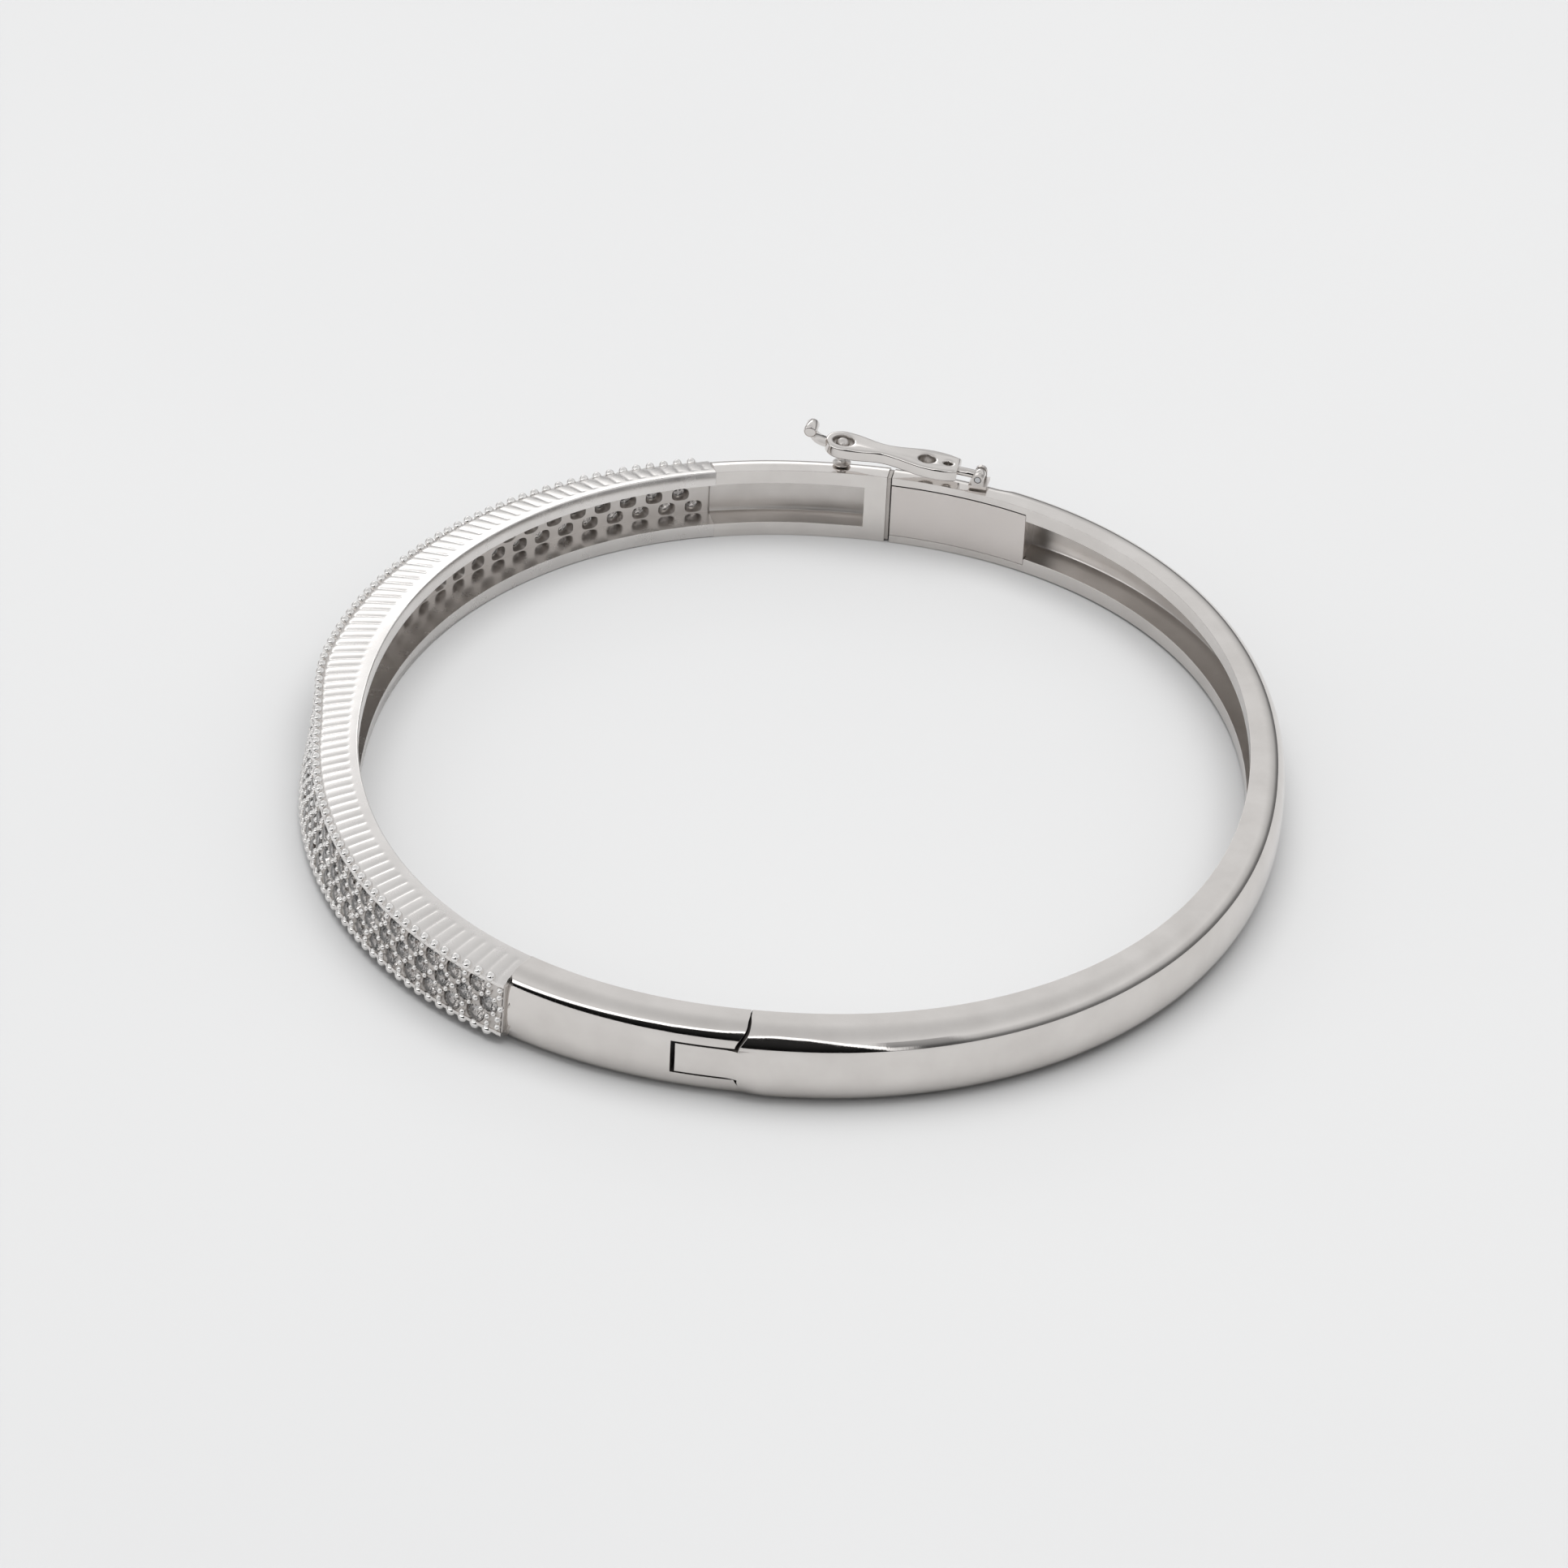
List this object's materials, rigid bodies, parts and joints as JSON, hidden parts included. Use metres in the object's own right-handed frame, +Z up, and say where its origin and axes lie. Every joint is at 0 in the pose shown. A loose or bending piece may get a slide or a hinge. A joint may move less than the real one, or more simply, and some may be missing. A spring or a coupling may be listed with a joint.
{
  "type": "bangle bracelet",
  "caption": "Hinged oval bangle with a pave-set crystal front half, a plain polished back half, a box clasp with a spring tongue and a figure-eight safety catch.",
  "frame": {"origin": "under the middle of the whole closed bangle, on the surface it lies on", "axes": "+X towards the plain back half, -X towards the stone-set front half, -Y towards the hinge, +Y towards the clasp, +Z up, along the wrist's own axis; the safety catch is on the +Z edge"},
  "size_m": [0.056, 0.063, 0.0071],
  "materials": {
    "polished_white_metal": "high polish, rhodium or silver white",
    "satin_white_metal": "fine satin",
    "steel": "plain spring steel, fine brushed",
    "crystal": "clear faceted crystal"
  },
  "bodies": {
    "front_half": {"front_band": "polished_white_metal", "hinge_pin": "steel", "tongue_fixed_leaf": "steel", "bead_post": "polished_white_metal", "stone_column_01": "crystal", "stone_column_02": "crystal", "stone_column_03": "crystal", "stone_column_04": "crystal", "stone_column_05": "crystal", "stone_column_06": "crystal", "stone_column_07": "crystal", "stone_column_08": "crystal", "stone_column_09": "crystal", "stone_column_10": "crystal", "stone_column_11": "crystal", "stone_column_12": "crystal", "stone_column_13": "crystal", "stone_column_14": "crystal", "stone_column_15": "crystal", "stone_column_16": "crystal", "stone_column_17": "crystal", "stone_column_18": "crystal", "stone_column_19": "crystal", "stone_column_20": "crystal", "stone_column_21": "crystal", "stone_column_22": "crystal", "stone_column_23": "crystal", "stone_column_24": "crystal", "stone_column_25": "crystal", "stone_column_26": "crystal", "stone_column_27": "crystal", "stone_column_28": "crystal", "stone_column_29": "crystal", "stone_column_30": "crystal", "stone_column_31": "crystal", "stone_column_32": "crystal", "stone_column_33": "crystal", "stone_column_34": "crystal", "stone_column_35": "crystal", "stone_column_36": "crystal", "stone_column_37": "crystal", "stone_column_38": "crystal", "stone_column_39": "crystal", "stone_column_40": "crystal", "stone_column_41": "crystal"},
    "back_half": {"back_band": "polished_white_metal", "box_cover_plate": "satin_white_metal", "catch_lug": "polished_white_metal", "catch_pin": "steel"},
    "safety_catch": {"figure_eight_catch": "polished_white_metal"},
    "spring_tongue": {"tongue_spring_leaf": "steel", "thumb_piece": "polished_white_metal"}
  },
  "joints": [
    {"name": "main_hinge", "type": "hinge", "parent": "front_half", "child": "back_half", "pos_m": [-0.0019, -0.03027, 0.00225], "axis": [0, 0, -1], "range_deg": [0, 60]},
    {"name": "catch_pivot", "type": "hinge", "parent": "back_half", "child": "safety_catch", "pos_m": [0.0086, 0.02884, 0.00518], "axis": [0.135, 0.9908, 0], "range_deg": [0, 150]},
    {"name": "tongue_spring", "type": "hinge", "parent": "front_half", "child": "spring_tongue", "pos_m": [0.00967, 0.0287, 0.00225], "axis": [0, 0, 1], "range_deg": [0, 3], "stiffness_Nm_per_rad": 0.05, "springref_deg": -2.86}
  ]
}
